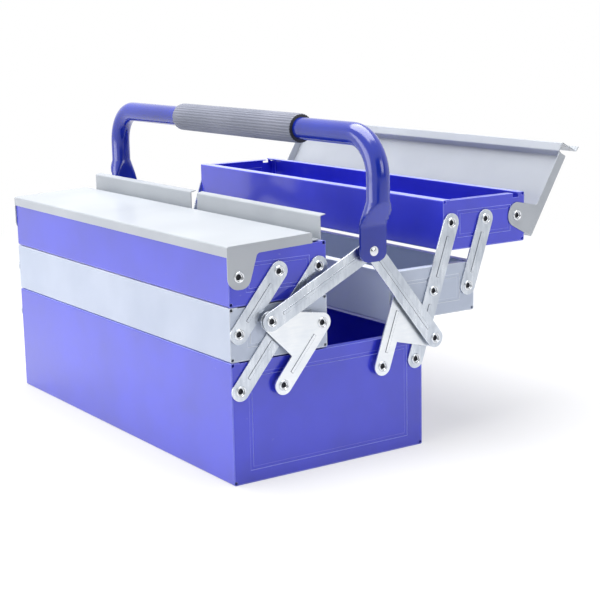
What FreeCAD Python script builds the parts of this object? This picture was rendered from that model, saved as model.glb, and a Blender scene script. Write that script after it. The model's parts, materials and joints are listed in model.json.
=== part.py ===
# Cantilever tool box: a folded steel box with two stepped trays on each side, carried by
# parallel links at both ends, with two lids and a carrying handle on a pair of handle links.
# Millimetres. +X runs along the box, +Y points to the open trays and +Z is up.
# The origin is in the middle of the box's floor, on its underside.

import FreeCAD, Part
import math
import os

from FreeCAD import Vector

# Main sizes of the box and the trays
box_length = 430.0
box_width = 200.0
base_height = 105.5
tray_height = 46.0
stack_gap = 0.5
centre_gap = 6.0

# Sheet metal
sheet = 0.8
bend_radius = 1.6
rim_width = 8.0
end_flange = 8.0
relief_size = 2.4
bead_width = 3.0
bead_depth = 0.5
bead_inset_side = 16.0
bead_inset_top = 10.0
notch_width = 7.0
notch_depth = 4.0
notch_inset = 6.0

# How far each side stands open, and how far its lid stands open, in degrees
left_open = 0.0
right_open = 59.1
left_lid_open = 0.0
right_lid_open = 118.5

# Links: rivet to rivet, and their lean towards the middle when the box is shut, in degrees
link_span = 63.0
shut_lean = 39.8
link_half_width = 8.5
link_plate = 1.5
link_bead_width = 3.0
link_bead_height = 0.5
link_bead_inset = 14.0
outer_link_inset = 8.0
link_spacing = 40.0
link_rivet_drop = 24.5

# Crank plates: the arm that drives a handle link
crank_arm = 58.0
crank_arm_angle = 52.0
crank_web_share = 0.5

# Handle links: rivet to rivet, and the eye of the right ones, which lies loosely round its rivet
handle_link_span = 112.0
eye_radius = 6.3
eye_shift_out = 1.5
eye_shift_up = 1.0

# Layers at the ends of the box, counted outwards from the end walls
slip_gap = 0.3
head_gap = 0.2
head_height = 1.0
rivet_shaft = 3.0
rivet_head = 4.6
rivet_sides = 6
fit_gap = 0.06
shoulder_radius = 5.5
apex_shaft = 2.6
apex_head = 4.0
apex_head_height = 1.6

# Lids, and the angle at which an opened lid's front flange stops against the tray, in degrees
lid_stop_angle = 118.5
lid_rise = 4.6
lid_slope = 2.3
lid_rivet_inset = 9.6
lid_rivet_drop = 21.4
ear_radius = 10.6
ear_root = 29.0
ear_taper = 9.0
ear_ease = 1.0
ear_fillet = 4.0
ledge_width = 8.0
joggle_run = 2.0
upstand_height = 20.0
upstand_inset = 7.2
lip_width = 5.6
lip_rise = 1.2
lid_end_inset = 2.0
hasp_notch = 12.0

# Handle
tube_radius = 10.0
handle_rise = 98.5
handle_bend = 35.0
flat_thickness = 3.5
flat_half_width = 14.0
flat_below = 9.5
flat_above = 22.0
flat_taper = 22.0
flat_corner = 9.0
grip_length = 216.0
grip_shift = 15.0
grip_radius = 13.6
grip_groove = 0.7
grip_rib_count = 22

overrun = 5.0
tiny = 1e-6

# Working planes and levels that follow from the sizes above
origin = Vector(0, 0, 0)
along = Vector(1, 0, 0)
half_length = box_length / 2
half_width = box_width / 2
inner_wall = centre_gap / 2
middle_floor = base_height + stack_gap
top_floor = middle_floor + tray_height + stack_gap
top_rim = top_floor + tray_height
link_rivet_height = base_height - link_rivet_drop

link_in = half_length + slip_gap
link_out = link_in + link_plate
link_head = link_out + head_gap + head_height
crank_in = link_head + slip_gap + head_height
crank_out = crank_in + link_plate
crank_head = crank_out + head_gap + head_height
left_bar_in = crank_head + slip_gap
left_bar_out = left_bar_in + link_plate
right_bar_in = left_bar_out + link_bead_height + slip_gap
right_bar_out = right_bar_in + link_plate
flat_in = right_bar_out + link_bead_height + slip_gap
flat_out = flat_in + flat_thickness
tube_centre = flat_in + tube_radius
ear_in = half_length + slip_gap
ear_out = ear_in + sheet


def spot(side, out, up):
    """A point in an end plane: side is -1 on the left and +1 on the right."""
    return Vector(0, side * out, up)


def outline(points, radii):
    """A closed wire through the points, each corner rounded by its own radius."""
    count = len(points)
    starts, middles, ends = [], [], []
    for i in range(count):
        corner = points[i]
        back = (points[i - 1] - corner).normalize()
        on = (points[(i + 1) % count] - corner).normalize()
        half = back.getAngle(on) / 2
        reach = radii[i] / math.tan(half)
        inward = (back + on).normalize()
        starts.append(corner + back * reach)
        ends.append(corner + on * reach)
        middles.append(corner + inward * (radii[i] / math.sin(half) - radii[i]))
    edges = []
    for i in range(count):
        if radii[i] > 0:
            edges.append(Part.Arc(starts[i], middles[i], ends[i]).toShape())
        following = starts[(i + 1) % count]
        if (following - ends[i]).Length > tiny:
            edges.append(Part.LineSegment(ends[i], following).toShape())
    return Part.Wire(edges)


def plate(points, radii, start, thickness):
    """A flat plate whose outline lies in an end plane, from x = start outwards."""
    face = Part.Face(outline(points, radii))
    face.translate(Vector(start, 0, 0))
    return face.extrude(Vector(thickness, 0, 0))


def offset_points(points, distance, closed):
    """The points moved to the left of the direction of travel, with mitred corners."""
    count = len(points)
    moved = []
    for i in range(count):
        first = i if i == 0 and not closed else i - 1
        last = i - 1 if i == count - 1 and not closed else i
        turn_in = (points[first + 1] - points[first]).normalize()
        turn_out = (points[(last + 1) % count] - points[last]).normalize()
        side_in = Vector(0, -turn_in.z, turn_in.y)
        side_out = Vector(0, -turn_out.z, turn_out.y)
        scale = distance / (1 + side_in.dot(side_out))
        moved.append(points[i] + (side_in + side_out) * scale)
    return moved


def folded(points, start, length):
    """Sheet folded along the points, on the left of the direction of travel, round outside each bend."""
    other = offset_points(points, sheet, False)
    radii, other_radii = [0], [0]
    for i in range(1, len(points) - 1):
        turn_in = points[i] - points[i - 1]
        turn_out = points[i + 1] - points[i]
        left_turn = turn_in.y * turn_out.z - turn_in.z * turn_out.y > 0
        radii.append(bend_radius if left_turn else 0)
        other_radii.append(0 if left_turn else bend_radius)
    radii.append(0)
    other_radii.append(0)
    return plate(points + other[::-1], radii + other_radii[::-1], start, length)


def strap_points(first, last, half_width_of_strap):
    """Corners of a strap that runs half its width past both rivets."""
    step = (last - first).normalize() * half_width_of_strap
    side = Vector(0, -step.z, step.y)
    return [first - step - side, last + step - side, last + step + side, first - step + side]


def strap(first, last, start):
    """A strap with round ends centred on two rivets."""
    corners = strap_points(first, last, link_half_width)
    return plate(corners, [link_half_width] * len(corners), start, link_plate)


def web(centres, start):
    """A plate whose rounded corners are centred on three points."""
    turn = (centres[1] - centres[0]).cross(centres[2] - centres[1]).x
    ring = centres if turn < 0 else centres[::-1]
    grown = offset_points(ring, link_half_width, True)
    return plate(grown, [link_half_width] * len(ring), start, link_plate)


def block(low, high):
    """A box between two corners."""
    size = high - low
    return Part.makeBox(size.x, size.y, size.z, low)


def prism(centre, start, end, radius):
    """A many-sided pin along the box, its corners on the given radius."""
    turn = 2 * math.pi / rivet_sides
    ring = [Vector(start, centre.y + radius * math.cos(i * turn), centre.z + radius * math.sin(i * turn))
            for i in range(rivet_sides + 1)]
    return Part.Face(Part.makePolygon(ring)).extrude(Vector(end - start, 0, 0))


def hole(centre, pin_radius):
    """A many-sided cutter through every layer, in which a pin of the given radius turns freely."""
    radius = (pin_radius + fit_gap) / math.cos(math.pi / rivet_sides)
    return prism(centre, 0, box_length, radius)


def headed(centre, steps):
    """A pin with heads and shoulders. Each step is its start, its end and its radius."""
    pieces = [prism(centre, *step) for step in steps]
    return pieces[0].fuse(pieces[1:]).removeSplitter()


def rivet(centre, grip_out, shoulder_out=0.0):
    """A rivet set in an end wall. A shouldered one holds its plate off the wall."""
    wall_in = half_length - sheet
    steps = [(wall_in - head_height, wall_in, rivet_head)]
    if shoulder_out > 0:
        steps.append((wall_in, half_length, rivet_shaft))
        steps.append((half_length, shoulder_out, shoulder_radius))
        steps.append((shoulder_out, grip_out + head_gap, rivet_shaft))
    else:
        steps.append((wall_in, grip_out + head_gap, rivet_shaft))
    steps.append((grip_out + head_gap, grip_out + head_gap + head_height, rivet_head))
    return headed(centre, steps)


def far(shape):
    """The same piece at the far end of the box."""
    return shape.mirror(origin, along)


def both_ends(shapes):
    """Pieces at the near end together with their copies at the far end."""
    return Part.makeCompound(shapes + [far(shape) for shape in shapes])


def wrap(side, inner, outer, floor, height):
    """The long sheet of a tray: rim, side, floor, side and rim, folded from one strip."""
    rim = floor + height
    left, right = sorted([side * inner, side * outer])
    path = [
        Vector(0, left + rim_width, rim),
        Vector(0, left, rim),
        Vector(0, left, floor),
        Vector(0, right, floor),
        Vector(0, right, rim),
        Vector(0, right - rim_width, rim),
    ]
    return folded(path, -half_length, box_length)


def slab(low, high, start, end):
    """A block given by its corners in an end plane and by where it starts and ends along the box."""
    return block(Vector(start, low.y, low.z), Vector(end, high.y, high.z))


def frame(low, high, width, start, end):
    """A rectangular ring of the given width inside two corners."""
    margin = Vector(0, width, width)
    middle = slab(low + margin, high - margin, start - overrun, end + overrun)
    return slab(low, high, start, end).cut(middle)


def end_wall(side, inner, outer, floor, height, holes, notch_side=0):
    """An end wall with four flanges folded inwards, a pressed bead and corner reliefs."""
    left, right = sorted([side * inner, side * outer])
    low = Vector(0, left + sheet, floor + sheet)
    high = Vector(0, right - sheet, floor + height - sheet)
    skin = Vector(0, sheet, sheet)
    wall_in = half_length - sheet
    flange_in = half_length - end_flange
    wall = slab(low, high, flange_in, half_length).cut(slab(low + skin, high - skin, flange_in - overrun, wall_in))

    inset = Vector(0, bead_inset_side, bead_inset_top)
    ring_low, ring_high = low + inset, high - inset
    ridge = frame(ring_low - skin, ring_high + skin, bead_width + sheet * 2, wall_in - bead_depth, wall_in)
    groove = frame(ring_low, ring_high, bead_width, half_length - bead_depth, half_length + overrun)
    wall = wall.fuse(ridge).cut(groove)

    cutters = [hole(centre, rivet_shaft) for centre in holes]
    relief = Vector(0, relief_size, relief_size)
    for y in (low.y, high.y - relief_size):
        for z in (low.z, high.z - relief_size):
            corner = Vector(0, y, z)
            cutters.append(slab(corner, corner + relief, flange_in - overrun, half_length + overrun))
    if notch_side:
        edge = high.y if notch_side > 0 else low.y
        sides = sorted([edge - notch_side * notch_inset, edge - notch_side * (notch_inset + notch_width)])
        notch_low = Vector(0, sides[0], high.z - notch_depth)
        notch_high = Vector(0, sides[1], high.z + overrun)
        cutters.append(slab(notch_low, notch_high, flange_in - overrun, half_length + overrun))
    return wall.cut(cutters).removeSplitter()


class Side:
    """Where the rivets and trays of one side lie, for the angle to which it stands open."""

    def __init__(self, side, opened, lid_opened):
        self.side = side
        self.lid_opened = lid_opened
        lean = math.radians(opened - shut_lean)
        shut = math.radians(-shut_lean)
        self.stage = spot(side, link_span * math.sin(lean), link_span * math.cos(lean))
        shut_stage = spot(side, link_span * math.sin(shut), link_span * math.cos(shut))
        self.shift = self.stage - shut_stage
        outer = half_width - outer_link_inset
        self.long_base = spot(side, outer, link_rivet_height)
        self.crank_base = spot(side, outer - link_spacing, link_rivet_height)
        self.long_middle = self.long_base + self.stage
        self.crank_middle = self.crank_base + self.stage
        self.long_top = self.long_middle + self.stage
        middle_height = link_rivet_height + shut_stage.z
        self.short_middle = spot(side, outer, middle_height) + self.shift
        self.short_top = self.short_middle + self.stage
        arm = lean + math.radians(crank_arm_angle)
        self.arm_end = self.crank_base + spot(side, crank_arm * math.sin(arm), crank_arm * math.cos(arm))
        shut_lid_rivet = spot(side, half_width - lid_rivet_inset, top_rim - lid_rivet_drop)
        self.shut_lid_rivet = shut_lid_rivet
        self.lid_rivet = shut_lid_rivet + self.shift * 2

    def tray_wrap(self, floor, stages):
        shape = wrap(self.side, inner_wall, half_width, floor, tray_height)
        shape.translate(self.shift * stages)
        return shape

    def tray_end(self, floor, stages, holes, notched):
        moved = self.shift * stages
        shut_holes = [centre - moved for centre in holes]
        notch_side = self.side if notched else 0
        shape = end_wall(self.side, inner_wall, half_width, floor, tray_height, shut_holes, notch_side)
        shape.translate(moved)
        return shape


def long_link(place):
    """The long link: base, middle tray and top tray."""
    return drilled(strap(place.long_base, place.long_top, link_in),
                   [place.long_base, place.long_middle, place.long_top], link_out)


def short_link(place):
    """The short link between the middle and the top tray."""
    return drilled(strap(place.short_middle, place.short_top, link_in),
                   [place.short_middle, place.short_top], link_out)


def bead_between(first, last, start):
    """A raised bead along a strap, between two rivets."""
    step = (last - first).normalize() * link_bead_inset
    corners = strap_points(first + step, last - step, link_bead_width / 2)
    return plate(corners, [0] * len(corners), start, link_bead_height)


def drilled(shape, centres, outer_face):
    """A strap with its rivet holes and a raised bead between each pair of rivets."""
    beads = [bead_between(first, last, outer_face) for first, last in zip(centres, centres[1:])]
    return shape.fuse(beads).cut([hole(centre, rivet_shaft) for centre in centres])


def crank(place):
    """The crank plate: a link from the base to the middle tray with an arm for the handle link."""
    main = strap(place.crank_base, place.crank_middle, crank_in)
    knee = place.crank_base + place.stage * crank_web_share
    arm_web = web([place.arm_end, place.crank_middle, knee], crank_in)
    bead = bead_between(place.crank_base, place.crank_middle, crank_out)
    holes = [place.crank_base, place.crank_middle, place.arm_end]
    return main.fuse([arm_web, bead]).removeSplitter().cut([hole(centre, rivet_shaft) for centre in holes])


def handle_apex(left, right):
    """Where handle links of equal span from both crank arms meet."""
    across = right.arm_end - left.arm_end
    height = math.sqrt(handle_link_span ** 2 - (across.Length / 2) ** 2)
    return left.arm_end + across / 2 + Vector(0, -across.z, across.y).normalize() * height


def handle_link(place, towards, start, eye):
    """A handle link from a crank arm towards the handle. Its eye turns on the handle's rivet."""
    end = place.arm_end + (towards - place.arm_end).normalize() * handle_link_span
    bar = strap(place.arm_end, end, start)
    bead = bead_between(place.arm_end, end, start + link_plate)
    return bar.fuse(bead).cut([hole(place.arm_end, rivet_shaft), hole(end, eye)])


def arm_rivet(place, bar_start):
    """The rivet that joins a crank arm to its handle link, with a shoulder between them."""
    steps = [
        (crank_in - head_height, crank_in - head_gap, rivet_head),
        (crank_in - head_gap, crank_out + head_gap, rivet_shaft),
        (crank_out + head_gap, bar_start - head_gap, shoulder_radius),
        (bar_start - head_gap, bar_start + link_plate + head_gap, rivet_shaft),
        (bar_start + link_plate + head_gap, bar_start + link_plate + head_gap + head_height, rivet_head),
    ]
    return headed(place.arm_end, steps)


def apex_rivet(centre):
    """The rivet through the handle's flat end and both handle links."""
    seat = flat_out + head_gap
    steps = [
        (left_bar_in - head_gap - head_height, left_bar_in - head_gap, apex_head),
        (left_bar_in - head_gap, seat, apex_shaft),
        (seat, seat + apex_head_height, apex_head),
    ]
    return headed(centre, steps)


def lid(place):
    """A lid: front flange, sloping panel, step down to a ledge, upstand and lip, with eared ends."""
    side = place.side
    outer = half_width + slip_gap + sheet
    lid_top = top_rim + lid_rise
    panel_end = upstand_inset + ledge_width + joggle_run
    rise = (outer - panel_end) * math.tan(math.radians(lid_slope))
    ledge = top_rim + slip_gap + sheet
    drop = flange_drop()
    path = [
        spot(side, outer, lid_top - drop),
        spot(side, outer, lid_top),
        spot(side, panel_end, lid_top + rise),
        spot(side, panel_end - joggle_run, ledge),
        spot(side, upstand_inset, ledge),
        spot(side, upstand_inset, ledge + upstand_height),
        spot(side, upstand_inset - lip_width, ledge + upstand_height + lip_rise),
    ]
    travel = path if side > 0 else path[::-1]
    body = folded(travel, -ear_out, ear_out * 2)

    step_low, step_high = sorted([side * -overrun, side * panel_end])
    for x in (-1, 1):
        start, end = sorted([x * (half_length - lid_end_inset), x * (ear_out + overrun)])
        body = body.cut(block(Vector(start, step_low, ledge - overrun),
                              Vector(end, step_high, lid_top + upstand_height + overrun)))
    low_y, high_y = sorted([side * -overrun, side * (upstand_inset + sheet)])
    body = body.cut(block(Vector(-hasp_notch / 2, low_y, ledge),
                          Vector(hasp_notch / 2, high_y, ledge + upstand_height + overrun)))

    rivet_at = place.shut_lid_rivet
    root = outer - ear_root
    root_top = lid_top + (outer - root) / (outer - panel_end) * rise
    ear = [
        spot(side, outer, lid_top - sheet),
        spot(side, outer, rivet_at.z - ear_radius),
        spot(side, root + ear_taper, rivet_at.z - ear_radius),
        spot(side, root, root_top - drop),
        spot(side, panel_end, lid_top + rise - drop),
        spot(side, panel_end, lid_top + rise - sheet),
    ]
    ear_radii = [0, ear_radius, ear_radius - ear_ease, ear_fillet, 0, 0]
    cheek = plate(ear, ear_radii, ear_in, sheet).cut(hole(rivet_at, rivet_shaft))
    body = body.fuse([cheek, far(cheek)]).removeSplitter()
    body.rotate(rivet_at, along, -side * place.lid_opened)
    body.translate(place.shift * 2)
    return body


def flange_drop():
    """How far the front flange hangs: its edge meets the tray's side when the lid is wide open."""
    reach = lid_rivet_inset + slip_gap
    angle = math.radians(lid_stop_angle)
    above_rivet = (reach - (reach + sheet) * math.cos(angle)) / math.sin(angle)
    return lid_rise + lid_rivet_drop - above_rivet


def handle_tube(apex):
    """The handle: a round tube bent to a U, with both ends flattened and drilled."""
    bar = apex.z + handle_rise
    leg_start = apex.z + flat_above + flat_taper
    turn = handle_bend
    diagonal = turn * (1 - math.sqrt(0.5))
    corner = tube_centre - turn
    points = [
        Vector(tube_centre, apex.y, leg_start), Vector(tube_centre, apex.y, bar - turn),
        Vector(tube_centre - diagonal, apex.y, bar - diagonal), Vector(corner, apex.y, bar),
    ]
    opposite = [Vector(-point.x, point.y, point.z) for point in points]
    spine = Part.Wire([
        Part.LineSegment(points[0], points[1]).toShape(),
        Part.Arc(points[1], points[2], points[3]).toShape(),
        Part.LineSegment(points[3], opposite[3]).toShape(),
        Part.Arc(opposite[3], opposite[2], opposite[1]).toShape(),
        Part.LineSegment(opposite[1], opposite[0]).toShape(),
    ])
    ring = Part.Wire(Part.makeCircle(tube_radius, points[0], Vector(0, 0, 1)))
    tube = spine.makePipeShell([ring], True, False)
    end = handle_neck(apex).fuse(handle_tongue(apex)).removeSplitter()
    return tube.fuse([end, far(end)]).removeSplitter()


def handle_neck(apex):
    """Where the tube is pressed flat: it widens sideways and its outer face slopes in."""
    low = apex.z + flat_above
    high = low + flat_taper
    wide_radius = math.hypot(flat_half_width, tube_centre - flat_in)
    axis_low = Vector(tube_centre, apex.y, low)
    round_part = Part.makeCone(wide_radius, tube_radius, flat_taper, axis_low, Vector(0, 0, 1))
    corners = [
        Vector(flat_in, apex.y - flat_half_width, low), Vector(flat_out, apex.y - flat_half_width, low),
        Vector(tube_centre + tube_radius, apex.y - flat_half_width, high),
        Vector(flat_in, apex.y - flat_half_width, high),
    ]
    wedge = Part.Face(Part.makePolygon(corners + corners[:1])).extrude(Vector(0, flat_half_width * 2, 0))
    return round_part.common(wedge)


def handle_tongue(apex):
    """The flat end of the handle, with rounded corners and a hole for its rivet."""
    left, right = apex.y - flat_half_width, apex.y + flat_half_width
    low, high = apex.z - flat_below, apex.z + flat_above
    corners = [Vector(0, left, low), Vector(0, right, low), Vector(0, right, high), Vector(0, left, high)]
    return plate(corners, [flat_corner, flat_corner, 0, 0], flat_in, flat_thickness).cut(hole(apex, apex_shaft))


def handle_grip(apex):
    """The sleeve on the handle's bar, with ribs along it."""
    bar = apex.z + handle_rise
    start = grip_shift - grip_length / 2
    turn = math.pi / grip_rib_count
    ring = []
    for i in range(grip_rib_count * 2):
        radius = grip_radius - grip_groove * (i % 2)
        ring.append(Vector(start, apex.y + radius * math.cos(i * turn), bar + radius * math.sin(i * turn)))
    sleeve = Part.Face(Part.makePolygon(ring + ring[:1])).extrude(Vector(grip_length, 0, 0))
    bore_start = Vector(start - overrun, apex.y, bar)
    return sleeve.cut(Part.makeCylinder(tube_radius + fit_gap, grip_length + overrun * 2, bore_start, along))


def side_nodes(name, place):
    """All the pieces of one side, named."""
    middle_holes = [place.short_middle, place.long_middle, place.crank_middle]
    top_holes = [place.short_top, place.long_top, place.lid_rivet]
    middle_end = place.tray_end(middle_floor, 1, middle_holes, False)
    top_end = place.tray_end(top_floor, 2, top_holes, True)
    nodes = {}
    for piece, shape in (("middle_end", middle_end), ("top_end", top_end)):
        nodes[f"{name}_{piece}_near"] = shape
        nodes[f"{name}_{piece}_far"] = far(shape)
    nodes[f"{name}_long_links"] = both_ends([long_link(place)])
    nodes[f"{name}_short_links"] = both_ends([short_link(place)])
    nodes[f"{name}_cranks"] = both_ends([crank(place)])
    nodes[f"{name}_middle_wrap"] = place.tray_wrap(middle_floor, 1)
    nodes[f"{name}_top_wrap"] = place.tray_wrap(top_floor, 2)
    nodes[f"{name}_lid"] = lid(place)
    nodes[f"{name}_middle_rivets"] = both_ends([
        rivet(place.short_middle, link_out), rivet(place.long_middle, link_out),
        rivet(place.crank_middle, crank_out, crank_in - head_gap),
    ])
    nodes[f"{name}_top_rivets"] = both_ends([
        rivet(place.short_top, link_out), rivet(place.long_top, link_out),
    ])
    nodes[f"{name}_lid_rivets"] = both_ends([rivet(place.lid_rivet, ear_out)])
    return nodes


def make_nodes():
    """Every piece of the tool box by name."""
    left = Side(-1, left_open, left_lid_open)
    right = Side(1, right_open, right_lid_open)
    base_holes = [left.long_base, left.crank_base, right.long_base, right.crank_base]
    base_end = end_wall(1, -half_width, half_width, 0, base_height, base_holes)
    nodes = {
        "base_wrap": wrap(1, -half_width, half_width, 0, base_height),
        "base_end_near": base_end,
        "base_end_far": far(base_end),
        "base_rivets": both_ends(
            [rivet(place.long_base, link_out) for place in (left, right)]
            + [rivet(place.crank_base, crank_out, crank_in - head_gap) for place in (left, right)]),
    }
    nodes.update(side_nodes("left", left))
    nodes.update(side_nodes("right", right))

    apex = handle_apex(left, right)
    eye = apex + Vector(0, eye_shift_out, eye_shift_up)
    bars = {
        "left": handle_link(left, apex, left_bar_in, apex_shaft),
        "right": handle_link(right, eye, right_bar_in, eye_radius),
    }
    for name, bar in bars.items():
        nodes[f"{name}_handle_links"] = both_ends([bar])
    nodes["left_arm_rivets"] = both_ends([arm_rivet(left, left_bar_in)])
    nodes["right_arm_rivets"] = both_ends([arm_rivet(right, right_bar_in)])
    nodes["apex_rivets"] = both_ends([apex_rivet(apex)])
    nodes["handle_tube"] = handle_tube(apex)
    nodes["handle_grip"] = handle_grip(apex)
    return nodes


os.makedirs("parts", exist_ok=True)
for node, shape in make_nodes().items():
    shape.exportStep(f"parts/{node}.step")
    print(node, len(shape.Solids), round(shape.Volume), shape.isValid())
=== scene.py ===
# %% [markdown]
# A cantilever tool box of folded sheet steel
# The box is a blue bottom case, two stepped trays on each side, zinc plated links, two pale
# lids and a tube handle with a ribbed grip. The frame that is loaded here holds every piece at
# its real size. Its pieces could be painted as they are, but people look closely at edges,
# rivets and handles. So this lesson gives the pieces their finish, rounds the folded edges, and
# puts fuller rivets, a fuller handle and a ribbed grip in the same places.

# %% Load the frame
import json
import math

import bmesh
import bpy
from mathutils import Matrix, Vector

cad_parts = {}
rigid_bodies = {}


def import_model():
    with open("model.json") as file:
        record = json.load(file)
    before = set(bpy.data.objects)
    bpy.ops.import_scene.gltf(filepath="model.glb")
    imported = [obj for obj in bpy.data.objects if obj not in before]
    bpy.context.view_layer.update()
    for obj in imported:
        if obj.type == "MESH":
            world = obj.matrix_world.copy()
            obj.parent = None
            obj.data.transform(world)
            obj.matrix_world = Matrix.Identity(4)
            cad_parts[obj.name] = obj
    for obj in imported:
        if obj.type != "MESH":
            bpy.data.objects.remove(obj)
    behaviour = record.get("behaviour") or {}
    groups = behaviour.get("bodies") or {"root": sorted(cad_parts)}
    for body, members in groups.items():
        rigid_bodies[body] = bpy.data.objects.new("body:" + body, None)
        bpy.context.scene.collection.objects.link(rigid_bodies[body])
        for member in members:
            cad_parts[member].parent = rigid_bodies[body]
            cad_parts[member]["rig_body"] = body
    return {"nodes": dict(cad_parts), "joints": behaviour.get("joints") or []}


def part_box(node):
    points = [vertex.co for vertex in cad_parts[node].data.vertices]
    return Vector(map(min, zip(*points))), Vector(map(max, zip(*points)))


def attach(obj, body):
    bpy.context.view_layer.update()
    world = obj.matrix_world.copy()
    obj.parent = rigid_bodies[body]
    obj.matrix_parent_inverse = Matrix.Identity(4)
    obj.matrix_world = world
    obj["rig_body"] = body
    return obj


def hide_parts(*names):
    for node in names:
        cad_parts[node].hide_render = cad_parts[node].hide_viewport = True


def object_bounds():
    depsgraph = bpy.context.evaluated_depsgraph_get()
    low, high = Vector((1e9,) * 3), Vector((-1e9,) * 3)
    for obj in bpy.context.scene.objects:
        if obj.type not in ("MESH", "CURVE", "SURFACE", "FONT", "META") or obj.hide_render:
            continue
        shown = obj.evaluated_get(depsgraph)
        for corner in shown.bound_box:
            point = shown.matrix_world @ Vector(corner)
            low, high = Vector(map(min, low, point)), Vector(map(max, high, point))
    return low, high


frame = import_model()
cad_low, cad_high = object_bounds()
nodes = frame["nodes"]
millimetre = 0.001
print("pieces in the frame:", len(nodes))

# %% [markdown]
# Colours
# Paint is easiest to judge as the numbers of a picture, from 0 to 255, but a shader wants linear
# light. The linear numbers could be typed in, and nobody could read them. One function keeps the
# readable numbers and turns them. A picture's curve has a straight foot and then a power.

# %% Colours
PICTURE_WHITE = 255
FOOT_END = 0.04045
FOOT_SLOPE = 12.92
CURVE_OFFSET = 0.055
CURVE_POWER = 2.4
WHITE = (1.0, 1.0, 1.0, 1.0)


def paint(red, green, blue):
    """A picture's red, green and blue as linear light with full alpha."""
    shares = [value / PICTURE_WHITE for value in (red, green, blue)]
    linear = [share / FOOT_SLOPE if share <= FOOT_END
              else ((share + CURVE_OFFSET) / (1 + CURVE_OFFSET)) ** CURVE_POWER for share in shares]
    return (*linear, 1.0)


print("a middle grey as linear light:", round(paint(128, 128, 128)[0], 3))

# %% [markdown]
# Where the rivets are
# The trays hang on rivets, and each rivet is a pivot of the linkage. Their places could be measured
# on the pieces, but each pivot is a joint of the frame, so the joints give them. The long links
# also pass two rivets that no joint names. They lie one and two stages up from the base, and a
# stage is the step from a crank's lower rivet to its upper one.

# %% Rivet places
pivots = {joint["name"]: Vector(joint["pos_m"]) for joint in frame["joints"]}
apex = pivots["handle_swing"]
rivet_places = {"base_rivets": [], "apex_rivets": [apex]}
for side in ("left", "right"):
    long_base = pivots[f"{side}_long_link_pivot"]
    crank_base = pivots[f"{side}_fold"]
    crank_middle = pivots[f"{side}_middle_tray_pivot"]
    stage = crank_middle - crank_base
    rivet_places["base_rivets"] += [long_base, crank_base]
    rivet_places[f"{side}_middle_rivets"] = [
        pivots[f"{side}_short_link_pivot"], long_base + stage, crank_middle]
    rivet_places[f"{side}_top_rivets"] = [pivots[f"{side}_top_tray_pivot"], long_base + stage * 2]
    rivet_places[f"{side}_lid_rivets"] = [pivots[f"{side}_lid_hinge"]]
    rivet_places[f"{side}_arm_rivets"] = [pivots[f"{side}_arm_pivot"]]
print("rivets at one end:", sum(len(places) for places in rivet_places.values()))

# %% [markdown]
# Helpers for nodes
# Finishes and repeated pieces are both built from nodes: a node is added, some settings are chosen,
# and each input takes a link or a plain value. That could be done by hand in the editor. Small
# functions do it in a line each, and the same trees come out at every run.

# %% Helpers for nodes
MIX_FIRST_COLOUR, MIX_SECOND_COLOUR, MIX_COLOUR_OUT = 6, 7, 2


def feed(tree, slot, item):
    """Give a socket a link or a plain value."""
    if isinstance(item, bpy.types.NodeSocket):
        tree.links.new(item, slot)
    else:
        slot.default_value = item


def tree_node(tree, kind, inputs=(), **settings):
    """A node with its settings, and its inputs by name or by number."""
    node = tree.nodes.new(kind)
    for label, item in settings.items():
        setattr(node, label, item)
    for label, item in dict(inputs).items():
        feed(tree, node.inputs[label], item)
    return node


def value_math(tree, operation, *items, clamp=False):
    """A Math node over sockets or numbers. Gives its output."""
    return tree_node(tree, "ShaderNodeMath", enumerate(items),
                     operation=operation, use_clamp=clamp).outputs[0]


def blend_colour(tree, share, first, second):
    """Two colours mixed by a share. A Mix node has separate sockets for each type of value."""
    sockets = {0: share, MIX_FIRST_COLOUR: first, MIX_SECOND_COLOUR: second}
    return tree_node(tree, "ShaderNodeMix", sockets, data_type="RGBA").outputs[MIX_COLOUR_OUT]


def spread(tree, socket, low, high, new_low, new_high):
    """A value stretched from one span to another and held inside it."""
    sockets = enumerate((socket, low, high, new_low, new_high))
    return tree_node(tree, "ShaderNodeMapRange", sockets).outputs[0]


helpers = (feed, tree_node, value_math, blend_colour, spread)
print("helpers for nodes:", ", ".join(helper.__name__ for helper in helpers))

# %% [markdown]
# Unevenness at a real size
# Paint, zinc and vinyl are never quite even: sprayed enamel has orange peel, plated strip has a
# rolled grain, and every colour drifts a little. Photographs could be laid over the pieces, but
# noise over a piece's own coordinates has no seams and keeps its size. A node group holds each
# effect once and puts out a colour, a roughness and a height. Each material places it with its
# own sizes.

# %% Patterns and groups
def noise(tree, place, scale, detail, rough=0.5):
    """Smooth noise over a place socket."""
    node = tree_node(tree, "ShaderNodeTexNoise",
                     {"Vector": place, "Scale": scale, "Detail": detail, "Roughness": rough})
    return node.outputs["Fac"]


def stretched(tree, scale):
    """Object coordinates, stretched by a scale along each axis."""
    place = tree_node(tree, "ShaderNodeTexCoord").outputs["Object"]
    return tree_node(tree, "ShaderNodeMapping", {"Vector": place, "Scale": scale}).outputs["Vector"]


def new_group(name, inputs):
    """An empty shader group with the named inputs and a colour, a roughness and a height out."""
    group = bpy.data.node_groups.new(name, "ShaderNodeTree")
    for label, kind, value in inputs:
        socket = group.interface.new_socket(label, in_out="INPUT", socket_type=kind)
        socket.default_value = value
    for label, kind in (("Color", "NodeSocketColor"), ("Roughness", "NodeSocketFloat"),
                        ("Height", "NodeSocketFloat")):
        group.interface.new_socket(label, in_out="OUTPUT", socket_type=kind)
    return group, group.nodes.new("NodeGroupInput"), group.nodes.new("NodeGroupOutput")


print("patterns:", noise.__name__, "over coordinates that are", stretched.__name__)

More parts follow.
